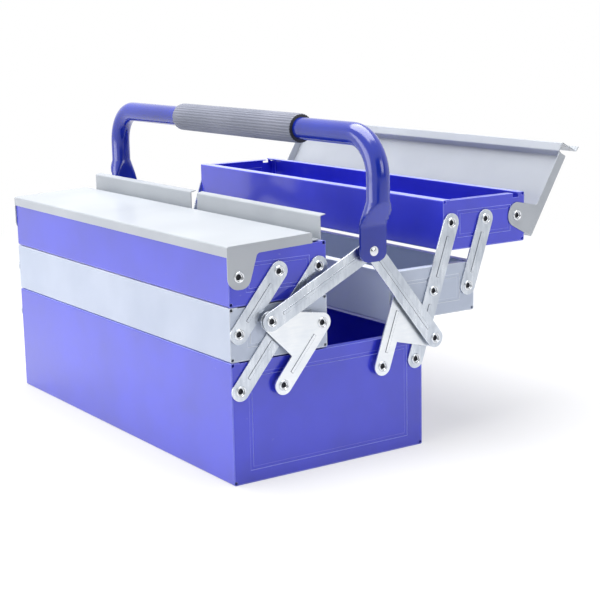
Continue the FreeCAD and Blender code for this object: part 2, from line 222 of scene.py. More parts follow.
# %% [markdown]
# Sprayed enamel
# Enamel on sheet steel is smooth but never flat. It has a fine orange peel that breaks up the
# reflections, a slow drift in depth of colour, and, on a box that opens and shuts, a few pale
# rubbed specks. One noise could carry all three, but they differ in size, so each has its own.

# %% Enamel group
SCUFF = paint(196, 200, 216)
DRIFT_SCALE = 14.0
DRIFT_DETAIL = 3.0
DRIFT_SPAN = (0.35, 0.65)
DRIFT_ROUGHNESS = 0.10
RUB_STRETCH = (1.0, 1.0, 2.2)
RUB_SCALE = 95.0
RUB_DETAIL = 6.0
RUB_BREAKUP = 0.62
RUB_SPAN = (0.70, 0.76)
RUB_ROUGHNESS = 0.5
WAVE_SCALE = 60.0
WAVE_SHARE = 0.6


def make_enamel_group():
    group, given, out = new_group("sprayed_enamel", [
        ("Paint", "NodeSocketColor", WHITE), ("Deep Paint", "NodeSocketColor", WHITE),
        ("Scuff", "NodeSocketColor", SCUFF), ("Scuff Share", "NodeSocketFloat", 0.3),
        ("Peel Scale", "NodeSocketFloat", 700.0), ("Base Roughness", "NodeSocketFloat", 0.25)])
    place = stretched(group, (1, 1, 1))
    drift = noise(group, place, DRIFT_SCALE, DRIFT_DETAIL)
    depth = spread(group, drift, *DRIFT_SPAN, 0.0, 1.0)
    colour = blend_colour(group, depth, given.outputs["Deep Paint"], given.outputs["Paint"])
    rubs = noise(group, stretched(group, RUB_STRETCH), RUB_SCALE, RUB_DETAIL, RUB_BREAKUP)
    rub_mask = spread(group, rubs, *RUB_SPAN, 0.0, given.outputs["Scuff Share"])
    rubbed = blend_colour(group, rub_mask, colour, given.outputs["Scuff"])
    feed(group, out.inputs["Color"], rubbed)
    uneven = value_math(group, "MULTIPLY", drift, DRIFT_ROUGHNESS)
    rough = value_math(group, "ADD", given.outputs["Base Roughness"], uneven)
    rougher = value_math(group, "MULTIPLY", rub_mask, RUB_ROUGHNESS)
    feed(group, out.inputs["Roughness"], value_math(group, "ADD", rough, rougher, clamp=True))
    peel = noise(group, place, given.outputs["Peel Scale"], 1.0)
    wave = value_math(group, "MULTIPLY", noise(group, place, WAVE_SCALE, 1.0), WAVE_SHARE)
    feed(group, out.inputs["Height"], value_math(group, "ADD", peel, wave))
    return group


enamel_group = make_enamel_group()
print(enamel_group.name, "has", len(enamel_group.nodes), "nodes")

# %% [markdown]
# Plated strip
# The links are cut from rolled strip and zinc plated. Rolling leaves long fine lines, and plating
# leaves soft cloudy spots. The lines could be drawn as waves, but waves repeat. The same noise,
# stretched along one direction, doesn't. The direction is an input, because pieces lie differently.

# %% Plated group
ZINC = paint(222, 228, 236)
ZINC_SHADE = paint(160, 169, 183)
LINE_DETAIL = 4.0
LINE_BREAKUP = 0.6
LINE_SPAN = (0.35, 0.65)
LINE_SHARE = 0.35
LINE_ROUGHNESS = 0.16
CLOUD_SCALE = 55.0
CLOUD_DETAIL = 3.0
CLOUD_SPAN = (0.36, 0.64)
CLOUD_SHARE = 0.45
CLOUD_ROUGHNESS = 0.08
PIT_SCALE = 900.0
PIT_DETAIL = 2.0
PIT_SHARE = 0.4


def make_plated_group():
    group, given, out = new_group("plated_strip", [
        ("Metal", "NodeSocketColor", ZINC), ("Shade", "NodeSocketColor", ZINC_SHADE),
        ("Grain", "NodeSocketVector", (40.0, 900.0, 40.0)),
        ("Base Roughness", "NodeSocketFloat", 0.2)])
    lines = noise(group, stretched(group, given.outputs["Grain"]), 1.0, LINE_DETAIL, LINE_BREAKUP)
    place = stretched(group, (1, 1, 1))
    clouds = noise(group, place, CLOUD_SCALE, CLOUD_DETAIL)
    cloud_mask = spread(group, clouds, *CLOUD_SPAN, 0.0, CLOUD_SHARE)
    clouded = blend_colour(group, cloud_mask, given.outputs["Metal"], given.outputs["Shade"])
    line_mask = spread(group, lines, *LINE_SPAN, 0.0, LINE_SHARE)
    feed(group, out.inputs["Color"], blend_colour(group, line_mask, clouded, given.outputs["Shade"]))
    lined = value_math(group, "MULTIPLY", lines, LINE_ROUGHNESS)
    rough = value_math(group, "ADD", given.outputs["Base Roughness"], lined)
    rougher = value_math(group, "MULTIPLY", cloud_mask, CLOUD_ROUGHNESS)
    feed(group, out.inputs["Roughness"], value_math(group, "ADD", rough, rougher, clamp=True))
    pits = value_math(group, "MULTIPLY", noise(group, place, PIT_SCALE, PIT_DETAIL), PIT_SHARE)
    feed(group, out.inputs["Height"], value_math(group, "ADD", lines, pits))
    return group


plated_group = make_plated_group()
print(plated_group.name, "has", len(plated_group.nodes), "nodes")

# %% [markdown]
# How a finish is put together
# On the real box a finish is a colour, a gloss and a fine relief. Each material could repeat all the
# nodes, but it is one Principled shader with a group in front of it. Numbers that are the same all
# over, such as the clear coat of a gloss enamel, stand on the shader itself.

# %% Finish functions
ENAMEL_BUMP = 0.10
PEEL_DEPTH = 0.2 * millimetre
PLATED_BUMP = 0.12
GRAIN_DEPTH = 0.05 * millimetre
COAT_ROUGHNESS = 0.12


def finish(name, group, settings, bump, bump_depth, **plain):
    """A material from a shader group. Plain values are set on the shader's own sockets."""
    material = bpy.data.materials.new(name)
    material.use_nodes = True
    tree = material.node_tree
    shader = tree.nodes["Principled BSDF"]
    effect = tree_node(tree, "ShaderNodeGroup", settings, node_tree=group)
    relief = tree_node(tree, "ShaderNodeBump", {
        "Strength": bump, "Distance": bump_depth, "Height": effect.outputs["Height"]})
    feed(tree, shader.inputs["Base Color"], effect.outputs["Color"])
    feed(tree, shader.inputs["Roughness"], effect.outputs["Roughness"])
    feed(tree, shader.inputs["Normal"], relief.outputs["Normal"])
    for label, item in plain.items():
        shader.inputs[label.replace("_", " ")].default_value = item
    return material


def enamel(name, colour, deep, scuffs, roughness, coat):
    settings = {"Paint": colour, "Deep Paint": deep, "Scuff Share": scuffs,
                "Base Roughness": roughness}
    return finish(name, enamel_group, settings, ENAMEL_BUMP, PEEL_DEPTH,
                  Coat_Weight=coat, Coat_Roughness=COAT_ROUGHNESS)


def plated(name, metal, shade, grain, roughness):
    settings = {"Metal": metal, "Shade": shade, "Grain": grain, "Base Roughness": roughness}
    return finish(name, plated_group, settings, PLATED_BUMP, GRAIN_DEPTH, Metallic=1.0)


print("finishes:", enamel.__name__, "and", plated.__name__)

# %% [markdown]
# Enamels of the box
# The bottom box and the top trays are gloss blue, the middle trays pale grey, the lids a little
# whiter and the handle a deeper blue. A folded edge catches more light, so each sheet finish has
# a paler copy for its edges: a painted highlight. One finish could do for all, and the edges would be
# lost.

# %% Enamels
blue_enamel = enamel("blue_enamel", paint(46, 54, 208), paint(38, 46, 190),
                     scuffs=0.12, roughness=0.30, coat=1.0)
handle_enamel = enamel("handle_enamel", paint(22, 44, 160), paint(18, 38, 144),
                       scuffs=0.06, roughness=0.14, coat=0.4)
tray_enamel = enamel("grey_tray_enamel", paint(184, 193, 210), paint(174, 184, 202),
                     scuffs=0.10, roughness=0.36, coat=0.15)
lid_enamel = enamel("pale_lid_enamel", paint(175, 180, 186), paint(167, 172, 179),
                    scuffs=0.10, roughness=0.34, coat=0.15)
# The paler edge finishes are painted highlight for bevels and rim tops.
blue_painted_highlight = enamel("blue_painted_highlight", paint(152, 160, 244), paint(136, 144, 238),
                   scuffs=0.3, roughness=0.30, coat=0.35)
pale_painted_highlight = enamel("pale_painted_highlight", paint(232, 236, 242), paint(216, 222, 230),
                   scuffs=0.3, roughness=0.34, coat=0.15)
box_enamels = (blue_enamel, handle_enamel, tray_enamel, lid_enamel, blue_painted_highlight, pale_painted_highlight)
print("enamels:", ", ".join(item.name for item in box_enamels))

# %% [markdown]
# Metals and vinyl
# Links are zinc plated, with a grain along them, and the crank plates are brighter and brushed
# upright. Link bevels take a near-white zinc, a painted highlight. Pressed beads show as thin dark
# lines of painted shade, rivets as bright nickel round a bore closed by a plug in painted shade. The
# grip's vinyl has the same drift and specks as paint but no coat, so the enamel group serves it too.

# %% Metals and vinyl
ALONG_LINK = (60.0, 420.0, 60.0)
UPRIGHT = (60.0, 60.0, 420.0)
ALL_WAYS = (60.0, 60.0, 60.0)
FINE_ALL_WAYS = (300.0, 300.0, 300.0)
# Near black, for painted shade in the rivet bores and on the grip's ends.
SHADE_BLACK = paint(26, 28, 38)
zinc_plate = plated("zinc_plate", ZINC, ZINC_SHADE, ALONG_LINK, roughness=0.20)
# Dark zinc for the bead sides, painted shade.
bead_painted_shade = plated("bead_painted_shade", paint(96, 104, 118), paint(74, 82, 96), ALL_WAYS, roughness=0.30)
# Near-white zinc for the link bevels, a painted highlight.
zinc_painted_highlight = plated("zinc_painted_highlight", paint(250, 252, 254), ZINC, ALL_WAYS, roughness=0.16)
zinc_crank = plated("zinc_crank", paint(240, 243, 246), ZINC, UPRIGHT, roughness=0.24)
nickel_rivet = plated("nickel_rivet", paint(222, 224, 226), ZINC, FINE_ALL_WAYS, roughness=0.12)
# The bore's plug is painted shade: near black where the hole would be dark.
painted_bore_shade = finish("painted_bore_shade", plated_group,
                    {"Metal": SHADE_BLACK, "Shade": SHADE_BLACK, "Base Roughness": 0.5},
                    bump=0.1, bump_depth=GRAIN_DEPTH)
grip_vinyl = finish("grip_vinyl", enamel_group, {
    "Paint": paint(124, 127, 142), "Deep Paint": paint(108, 112, 127), "Scuff Share": 0.15,
    "Peel Scale": 300.0, "Base Roughness": 0.42}, bump=0.03, bump_depth=GRAIN_DEPTH)
# The grip's end faces take near black, painted shade.
grip_end = finish("grip_end", enamel_group, {
    "Paint": SHADE_BLACK, "Deep Paint": SHADE_BLACK, "Scuff Share": 0.0,
    "Base Roughness": 0.5}, bump=0.2, bump_depth=0.15 * millimetre)
print("materials:", len(bpy.data.materials))

# %% [markdown]
# From modifiers to plain mesh
# A finished piece has to be a plain mesh that rides on a body of the frame, so that it moves with
# the linkage. Applying modifiers by operator needs a selected object. Taking the mesh from the
# evaluated piece needs none and works the same for bevels and for Geometry Nodes.

# %% Plain pieces
def new_piece(name, data):
    """A new object at the origin, linked to the scene."""
    piece = bpy.data.objects.new(name, data)
    bpy.context.scene.collection.objects.link(piece)
    return piece


def baked(piece):
    """The piece with its modifiers turned into plain mesh."""
    graph = bpy.context.evaluated_depsgraph_get()
    mesh = bpy.data.meshes.new_from_object(piece.evaluated_get(graph), depsgraph=graph)
    piece.modifiers.clear()
    old, piece.data = piece.data, mesh
    mesh.name = piece.name
    bpy.data.meshes.remove(old)
    return piece


def settle(piece, body, slot, *replaced):
    """The calls that tie a finished piece to the frame."""
    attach(piece, body)
    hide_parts(*replaced)
    return piece


print("helpers for pieces:", new_piece.__name__, baked.__name__, settle.__name__)

# %% [markdown]
# Clean copies of the folded pieces
# Sheet steel is folded and links are pressed, so their faces are flat and their edges run through.
# The frame's meshes are cut into triangles, and their stored normals would spoil a bevel. They must
# also stay as they are. So each piece starts as a copy whose triangles are joined again: double
# points are merged, and flat regions become single faces.

# %% Clean copies
JOIN_DISTANCE = 0.002 * millimetre
FLAT_ANGLE = math.radians(0.8)


def clean_copy(node, materials):
    """A copy of a frame node's mesh with whole flat faces and the given materials."""
    mesh = nodes[node].data.copy()
    mesh.name = f"{node}_fine"
    mesh.materials.clear()
    for material in materials:
        mesh.materials.append(material)
    for label in ("custom_normal", "sharp_edge", "sharp_face"):
        if label in mesh.attributes:
            mesh.attributes.remove(mesh.attributes[label])
    shape = bmesh.new()
    shape.from_mesh(mesh)
    bmesh.ops.remove_doubles(shape, verts=shape.verts, dist=JOIN_DISTANCE)
    bmesh.ops.dissolve_limit(shape, angle_limit=FLAT_ANGLE, verts=shape.verts, edges=shape.edges)
    for face in shape.faces:
        face.smooth = True
        face.material_index = 0
    shape.to_mesh(mesh)
    shape.free()
    return mesh


plain = nodes["base_wrap"].data
print("the bottom box's strip in the frame:", len(plain.polygons), "faces")

# %% [markdown]
# Edges that catch the light
# Folded sheet never has a knife edge. A narrow bevel along every sharp edge, in a paler finish that
# is a painted highlight, gives the thin bright line that shows where a flange ends. The paler finish
# alone could fake it, but a real bevel also holds close up and in the outline. It stays much narrower
# than the sheet is thick, because in a tight fold a wide one would run into itself. Weighted normals
# then keep the flat faces flat.

# %% Rounded edges
SHARP_ANGLE = math.radians(28)
BEVEL_SEGMENTS = 2
FLAT_FACES_WIN = 100
EVEN_THRESHOLD = 0.001
HIGHLIGHT_SLOT = 1


def round_edges(piece, width, clamp):
    """Bevel a piece's sharp edges, give them the paler painted highlight finish and bake it all to plain
    mesh.
    """
    edge = piece.modifiers.new("folded_edges", "BEVEL")
    edge.width = width
    edge.segments = BEVEL_SEGMENTS
    edge.limit_method = "ANGLE"
    edge.angle_limit = SHARP_ANGLE
    # The bevel faces take the paler finish, a painted highlight.
    edge.material = HIGHLIGHT_SLOT
    edge.use_clamp_overlap = clamp
    even = piece.modifiers.new("even_shading", "WEIGHTED_NORMAL")
    even.weight = FLAT_FACES_WIN
    even.thresh = EVEN_THRESHOLD
    return baked(piece)


print("edges sharper than", round(math.degrees(SHARP_ANGLE)), "degrees are rounded")

# %% [markdown]
# Sheet pieces
# Each tray is one folded strip between two flanged end walls, and the lids close the top ones. On
# the strips, the upper side of the rim catches the light and looks pale, so its faces take the paler
# finish as well, a painted highlight. They could be picked by hand, but their height and direction find
# them all.

# %% Sheet pieces
WRAP_EDGE = 0.15 * millimetre
END_EDGE = 0.2 * millimetre
RIM_DEPTH = 1.0 * millimetre
UPWARD = 0.5
sheet_finishes = {"base": (blue_enamel, blue_painted_highlight, "body"), "top": (blue_enamel, blue_painted_highlight, "body"),
                  "middle": (tray_enamel, pale_painted_highlight, "middle_trays"),
                  "lid": (lid_enamel, pale_painted_highlight, "lids")}


def mark_rim(piece):
    """Give the upper faces of a strip's rim the paler finish, a painted highlight from above."""
    rim = max(vertex.co.z for vertex in piece.data.vertices) - RIM_DEPTH
    for face in piece.data.polygons:
        if face.center.z > rim and face.normal.z > UPWARD:
            face.material_index = HIGHLIGHT_SLOT


sheet_nodes = [node for node in nodes if node.endswith(("_wrap", "_near", "_far", "_lid"))]
for node in sheet_nodes:
    kind = next(word for word in sheet_finishes if word in node)
    material, highlight_material, slot = sheet_finishes[kind]
    piece = new_piece(f"{node}_fine", clean_copy(node, (material, highlight_material)))
    round_edges(piece, END_EDGE if "_end_" in node else WRAP_EDGE, clamp=slot == "lids")
    if node.endswith("_wrap"):
        mark_rim(piece)
    settle(piece, nodes[node]["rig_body"], slot, node)
print("sheet pieces:", len(sheet_nodes))

# %% [markdown]
# Links and crank plates
# The links are punched from strip and stiffened by a pressed bead, which shows as a fine dark line
# round a raised rib. The bead is already in the frame's mesh. Its sloping sides could be drawn by a
# mask, but they are faces of their own, so they simply take a darker zinc, painted shade for that line.

# %% Links and crank plates
LINK_EDGE = 0.22 * millimetre
BEAD_HEIGHT = 0.5 * millimetre
BEAD_SIDE_SHARE = 0.85
FACING_OUT = 0.95
BEAD_SHADE_SLOT = 2


def mark_beads(piece):
    """Give the sides of a link's bead the darker zinc, painted shade."""
    crest = max(abs(vertex.co.x) for vertex in piece.data.vertices)
    for face in piece.data.polygons:
        on_bead = abs(face.center.x) > crest - BEAD_HEIGHT * BEAD_SIDE_SHARE
        if on_bead and abs(face.normal.x) < FACING_OUT:
            face.material_index = BEAD_SHADE_SLOT


link_nodes = [node for node in nodes if node.endswith(("_links", "_cranks"))]
for node in link_nodes:
    material = zinc_crank if node.endswith("_cranks") else zinc_plate
    piece = new_piece(f"{node}_fine", clean_copy(node, (material, zinc_painted_highlight)))
    round_edges(piece, LINK_EDGE, clamp=False)
    piece.data.materials.append(bead_painted_shade)
    mark_beads(piece)
    settle(piece, nodes[node]["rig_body"], "links", node)
print("link and crank pieces:", len(link_nodes))

# %% [markdown]
# Geometry Nodes trees
# Rivets and grip ribs repeat, and a tree with named sizes makes all of them alike. The tree's inputs
# are set by their identifiers before the piece is first evaluated, because names may repeat. The
# result is baked like any other modifier.

# %% Helpers for geometry trees
def tree_with(name, inputs):
    """An empty Geometry Nodes tree with a geometry in and out and the named inputs."""
    tree = bpy.data.node_groups.new(name, "GeometryNodeTree")
    tree.interface.new_socket("Geometry", in_out="INPUT", socket_type="NodeSocketGeometry")
    for label, kind in inputs:
        tree.interface.new_socket(label, in_out="INPUT", socket_type=kind)
    tree.interface.new_socket("Geometry", in_out="OUTPUT", socket_type="NodeSocketGeometry")
    return tree, tree.nodes.new("NodeGroupInput"), tree.nodes.new("NodeGroupOutput")


def named_value(tree, name, kind):
    """The value that a point or face carries under a name."""
    return tree_node(tree, "GeometryNodeInputNamedAttribute", {"Name": name}, data_type=kind).outputs[0]


def real_and_smooth(tree, geometry):
    """Instances turned into smooth mesh."""
    real = tree_node(tree, "GeometryNodeRealizeInstances", {"Geometry": geometry.outputs[0]})
    return tree_node(tree, "GeometryNodeSetShadeSmooth", {"Geometry": real.outputs[0]})


def covered(tree, geometry, material, selection=True):
    """The geometry with a material on the chosen faces."""
    return tree_node(tree, "GeometryNodeSetMaterial", {
        "Geometry": geometry.outputs[0], "Selection": selection, "Material": material})


def grown(piece, tree, values):
    """The plain mesh that a tree makes of a piece, with the given values for its inputs."""
    modifier = piece.modifiers.new(tree.name, "NODES")
    modifier.node_group = tree
    for item in tree.interface.items_tree:
        if item.in_out == "INPUT" and item.name in values:
            modifier[item.identifier] = values[item.name]
    return baked(piece)


tree_helpers = (tree_with, named_value, real_and_smooth, covered, grown)
print("helpers for trees:", ", ".join(helper.__name__ for helper in tree_helpers))

# %% [markdown]
# The rolled end of a tubular rivet
# The trays hang on tubular rivets. Their outer end is rolled outwards to a bright ring round a dark
# bore, and that ring is what one sees. It could be cut from a solid head, but a round section swept
# round a circle is just what rolling makes. A short wall and a near-black plug, painted shade for the
# depth of the hole, close the bore.

# %% Rolled end
RING_SIDES = 28
ROLL_SIDES = 14
BORE_SHARE = 0.7
WALL_SHARE = 0.6
HALF_DOWN = -0.5
PLUG_DOWN = -0.9
PLUG_THICKNESS = 0.4 * millimetre
ALONG_THE_BOX = (0, math.pi / 2, 0)


def ring_of(tree, radius, section):
    """A section swept round a circle."""
    circle = tree_node(tree, "GeometryNodeCurvePrimitiveCircle",
                       {"Resolution": RING_SIDES, "Radius": radius})
    return tree_node(tree, "GeometryNodeCurveToMesh",
                     {"Curve": circle.outputs[0], "Profile Curve": section.outputs[0]})


def sunk(tree, geometry, depth, share):
    """A geometry moved down by a share of the bore's depth."""
    place = tree_node(tree, "ShaderNodeCombineXYZ", {"Z": value_math(tree, "MULTIPLY", depth, share)})
    return tree_node(tree, "GeometryNodeTransform",
                     {"Geometry": geometry, "Translation": place.outputs[0]})


def rolled_end(tree, ring_radius, roll_radius, depth):
    """The ring, the wall of the bore and its plug in painted shade, joined."""
    roll = tree_node(tree, "GeometryNodeCurvePrimitiveCircle",
                     {"Resolution": ROLL_SIDES, "Radius": roll_radius})
    inset = value_math(tree, "MULTIPLY", roll_radius, BORE_SHARE)
    bore_radius = value_math(tree, "SUBTRACT", ring_radius, inset)
    wall_section = tree_node(tree, "GeometryNodeCurvePrimitiveQuadrilateral", {
        "Width": depth, "Height": value_math(tree, "MULTIPLY", roll_radius, WALL_SHARE)})
    wall = sunk(tree, ring_of(tree, bore_radius, wall_section).outputs[0], depth, HALF_DOWN)
    plug = tree_node(tree, "GeometryNodeMeshCylinder", {
        "Vertices": RING_SIDES, "Radius": bore_radius, "Depth": PLUG_THICKNESS})
    marked = tree_node(tree, "GeometryNodeStoreNamedAttribute", {
        "Geometry": sunk(tree, plug.outputs["Mesh"], depth, PLUG_DOWN).outputs[0],
        "Name": "in_bore"}, data_type="BOOLEAN", domain="FACE")
    next(slot for slot in marked.inputs if slot.name == "Value" and slot.enabled).default_value = True
    joined = tree_node(tree, "GeometryNodeJoinGeometry")
    for part in (marked, wall, ring_of(tree, ring_radius, roll)):
        feed(tree, joined.inputs[0], part.outputs[0])
    return joined


print("a rolled ring has", RING_SIDES * ROLL_SIDES, "faces")

# %% [markdown]
# One tree for all the rivets
# A rivet is a rolled ring or a domed head at each end and a shank between. Each could be modelled at
# its place, but three parts of unit size are enough. They are put on points that carry their kind,
# their turn and their size, so the tree needs no list of places.

# %% The rivet tree
RING, DOME, SHANK = 0, 1, 2
DOME_RINGS = 10
WHOLE_FIRST, WHOLE_SECOND = 2, 3


def make_rivet_tree():
    tree, given, out = tree_with("tubular_rivets", [
        ("Ring Radius", "NodeSocketFloat"), ("Roll Radius", "NodeSocketFloat"),
        ("Bore Depth", "NodeSocketFloat"), ("Plate", "NodeSocketMaterial"),
        ("Bore", "NodeSocketMaterial")])
    ring = rolled_end(tree, given.outputs["Ring Radius"], given.outputs["Roll Radius"],
                      given.outputs["Bore Depth"])
    ball = tree_node(tree, "GeometryNodeMeshUVSphere", {
        "Segments": RING_SIDES, "Rings": DOME_RINGS, "Radius": 1.0})
    rod = tree_node(tree, "GeometryNodeMeshCylinder", {
        "Vertices": RING_SIDES, "Radius": 1.0, "Depth": 1.0})
    joined = tree_node(tree, "GeometryNodeJoinGeometry")
    for number, part in ((RING, ring), (DOME, ball), (SHANK, rod)):
        turned = tree_node(tree, "GeometryNodeTransform", {
            "Geometry": part.outputs[0], "Rotation": ALONG_THE_BOX})
        chosen = tree_node(tree, "FunctionNodeCompare", {
            WHOLE_FIRST: named_value(tree, "kind", "INT"), WHOLE_SECOND: number},
            data_type="INT", operation="EQUAL")
        placed = tree_node(tree, "GeometryNodeInstanceOnPoints", {
            "Points": given.outputs["Geometry"], "Selection": chosen.outputs[0],
            "Instance": turned.outputs[0], "Rotation": named_value(tree, "facing", "FLOAT_VECTOR"),
            "Scale": named_value(tree, "size", "FLOAT_VECTOR")})
        feed(tree, joined.inputs[0], placed.outputs[0])
    bright = covered(tree, real_and_smooth(tree, joined), given.outputs["Plate"])
    whole = covered(tree, bright, given.outputs["Bore"], named_value(tree, "in_bore", "BOOLEAN"))
    feed(tree, out.inputs[0], whole.outputs[0])
    return tree


rivet_tree = make_rivet_tree()
print(rivet_tree.name, "has", len(rivet_tree.nodes), "nodes")

# %% [markdown]
# How far each rivet reaches
# Rivets differ in length, because some hold one plate to a wall and others a whole stack. The
# lengths could be listed, but the frame's plain rivets already have them: their corners say where
# a rivet starts, where it ends, and where a shoulder keeps two plates apart.

# %% Rivet reach
RIVET_REACH = 7.0 * millimetre
SHOULDER_LEAST = 5.0


def steps_along(node, centre):
    """Where a rivet of the frame changes at the near end: place and radius, in millimetres."""
    found = set()
    for vertex in nodes[node].data.vertices:
        radius = math.hypot(vertex.co.y - centre.y, vertex.co.z - centre.z)
        if radius < RIVET_REACH and vertex.co.x > 0:
            found.add((round(vertex.co.x / millimetre, 2), round(radius / millimetre, 1)))
    return sorted(found)


def rivet_span(node, centre):
    """A rivet's start and end, and the places of its shoulder, in metres."""
    steps = steps_along(node, centre)
    wide = [x * millimetre for x, radius in steps if radius > SHOULDER_LEAST]
    return steps[0][0] * millimetre, steps[-1][0] * millimetre, wide


for node, centres in rivet_places.items():
    start, end = rivet_span(node, centres[0])[:2]
    print(node, "reach from", round(start / millimetre, 1), "to", round(end / millimetre, 1), "mm")

# %% [markdown]
# Points for the rivets
# Each rivet needs a ring at its outer end, a domed head inside the wall, and shanks between, once for
# each end of the box. The handle's own rivet has a dome outside instead of a ring. A mesh of bare
# points with named values is the plainest way to hand such a list to a tree.

# %% Rivets on their bodies
HEAD_HEIGHT = 1.0 * millimetre
HEAD_RADIUS = 4.6 * millimetre
DOME_HEIGHT = 1.8 * millimetre
SHANK_RADIUS = 2.9 * millimetre
SHOULDER_RADIUS = 5.4 * millimetre
ROLL_RADIUS = 0.9 * millimetre
BORE_DEPTH = 2.0 * millimetre
rivet_sizes = {"Ring Radius": 4.05 * millimetre, "Roll Radius": ROLL_RADIUS,
               "Bore Depth": BORE_DEPTH, "Plate": nickel_rivet, "Bore": painted_bore_shade}


def rivet_rows(node, centre):
    """One rivet's parts at both ends of the box: place, kind, turn and size."""
    start, end, wide = rivet_span(node, centre)
    shank_end = end - ROLL_RADIUS - BORE_DEPTH
    head = min(HEAD_HEIGHT, (shank_end - start) / 2)
    if node == "apex_rivets":
        parts = [(end - DOME_HEIGHT, DOME, (DOME_HEIGHT, HEAD_RADIUS, HEAD_RADIUS))]
    else:
        parts = [(end - ROLL_RADIUS, RING, (1.0, 1.0, 1.0))]
    parts.append((start + head, DOME, (head, HEAD_RADIUS, HEAD_RADIUS)))
    spans = [(start + head, shank_end, SHANK_RADIUS)]
    if wide:
        spans.append((min(wide), max(wide), SHOULDER_RADIUS))
    parts += [((low + high) / 2, SHANK, (high - low, radius, radius))
              for low, high, radius in spans if high > low]
    return [((way * x, centre.y, centre.z), kind, (0.0, 0.0, turn), size)
            for way, turn in ((1, 0.0), (-1, math.pi)) for x, kind, size in parts]


def rivet_piece(node, centres):
    """All rivets of one node as one piece."""
    rows = [row for centre in centres for row in rivet_rows(node, centre)]
    places, kinds, turns, sizes = zip(*rows)
    mesh = bpy.data.meshes.new(f"{node}_rolled")
    mesh.from_pydata(places, [], [])
    mesh.attributes.new("kind", "INT", "POINT").data.foreach_set("value", kinds)
    for name, triples in (("facing", turns), ("size", sizes)):
        flat = [number for triple in triples for number in triple]
        mesh.attributes.new(name, "FLOAT_VECTOR", "POINT").data.foreach_set("vector", flat)
    piece = grown(new_piece(f"{node}_rolled", mesh), rivet_tree, rivet_sizes)
    return settle(piece, nodes[node]["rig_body"], "rivets", node)


for node, centres in rivet_places.items():
    made = rivet_piece(node, centres)
    print(made.name, len(made.data.polygons), "faces")

# %% [markdown]
# The handle's pressed ends
# The handle is one steel tube bent to a U. Each end is pressed flat and drilled, and the round tube
# swells out above the flat in a scoop. Cutting a cylinder with two boxes gives hard steps there. A
# loft follows the metal better: one ring of points at each station. In the pressed part the ring is
# where rays from a middle point leave a cone that two flat planes cut, as the press does.

# %% Where a ray leaves the pressed tube
SOFT_MINIMUM = 14
FACING_LEAST = 1e-6
tube_low, tube_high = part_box("handle_tube")
TUBE_RADIUS = 10.0 * millimetre
flat_in = tube_high.x - TUBE_RADIUS * 2
tube_axis = tube_high.x - TUBE_RADIUS
bar_height = tube_high.z - TUBE_RADIUS


def ray_length(direction, centre, limits, radius):
    """How far a ray goes from centre before it leaves the tube's circle or a flat plane."""
    across, sideways = centre[0] - TUBE_RADIUS, centre[1]
    along = across * direction[0] + sideways * direction[1]
    inside = radius ** 2 - across ** 2 - sideways ** 2
    reach = [-along + math.sqrt(max(along ** 2 + inside, 0.0))]
    for (dx, dy), distance in limits:
        facing = direction[0] * dx + direction[1] * dy
        if facing > FACING_LEAST:
            reach.append((distance - centre[0] * dx - centre[1] * dy) / facing)
    return sum(item ** -SOFT_MINIMUM for item in reach) ** (-1 / SOFT_MINIMUM)


print("the handle's bar lies", round(bar_height / millimetre, 1), "mm above the floor")

# %% [markdown]
# Rings of the pressed part
# Below the neck the tube is a flat tongue with round lower corners, and in the neck it grows back to
# a full tube. Both could be separate pieces with a seam. Here one share runs from 0 at the flat to
# 1 at the tube, and every measure of the ring follows it.

# %% Pressed rings
RAYS = 56
FLAT_THICKNESS = 3.5 * millimetre
FLAT_HALF_WIDTH = 14.0 * millimetre
FLAT_ABOVE = 22.0 * millimetre
FLAT_BELOW = apex.z - tube_low.z
FLAT_CORNER = 9.0 * millimetre
NECK = 22.0 * millimetre


def pressed_ring(height):
    """One ring of the pressed end, at a height above the rivet."""
    share = min(max((height - FLAT_ABOVE) / NECK, 0.0), 1.0)
    wide = math.hypot(FLAT_HALF_WIDTH, TUBE_RADIUS)
    radius = wide + (TUBE_RADIUS - wide) * share
    outer = FLAT_THICKNESS + (TUBE_RADIUS * 2 - FLAT_THICKNESS) * share
    half = FLAT_HALF_WIDTH
    above_edge = height + FLAT_BELOW
    if above_edge < FLAT_CORNER:
        half += math.sqrt(FLAT_CORNER ** 2 - (FLAT_CORNER - above_edge) ** 2) - FLAT_CORNER
    middle = (FLAT_THICKNESS / 2 + (TUBE_RADIUS - FLAT_THICKNESS / 2) * share, 0.0)
    limits = [((1, 0), outer), ((-1, 0), 0.0), ((0, 1), half), ((0, -1), half)]
    ring = []
    for i in range(RAYS):
        angle = 2 * math.pi * i / RAYS
        direction = (math.cos(angle), math.sin(angle))
        length = ray_length(direction, middle, limits, radius)
        ring.append(Vector((flat_in + middle[0] + direction[0] * length,
                            apex.y + direction[1] * length, apex.z + height)))
    return ring


print("the flat end reaches", round(FLAT_BELOW / millimetre, 1), "mm below its rivet")

# %% [markdown]
# Stations along the handle
# The rings stand close where the shape changes: at the round lower corners, in the neck and in the
# bend. Evenly spaced rings would waste faces on the straight runs. Only the near half is worked
# out, up to the bar, and the far half is its mirror image.

# %% Handle stations
BEND = 35.0 * millimetre
CORNER_STATIONS = 8
NECK_STATIONS = 22
BEND_STATIONS = 16
FIRST_RING_LIFT = 0.1 * millimetre
flat_station_shares = (0.0, 0.25, 0.5, 0.75, 0.9)

heights = [FLAT_CORNER * (1 - math.cos(math.pi / 2 * i / CORNER_STATIONS)) - FLAT_BELOW + FIRST_RING_LIFT
           for i in range(CORNER_STATIONS + 1)]
heights += [FLAT_ABOVE * share for share in flat_station_shares]
heights += [FLAT_ABOVE + NECK * i / NECK_STATIONS for i in range(NECK_STATIONS + 1)]
near_rings = [pressed_ring(height) for height in heights]

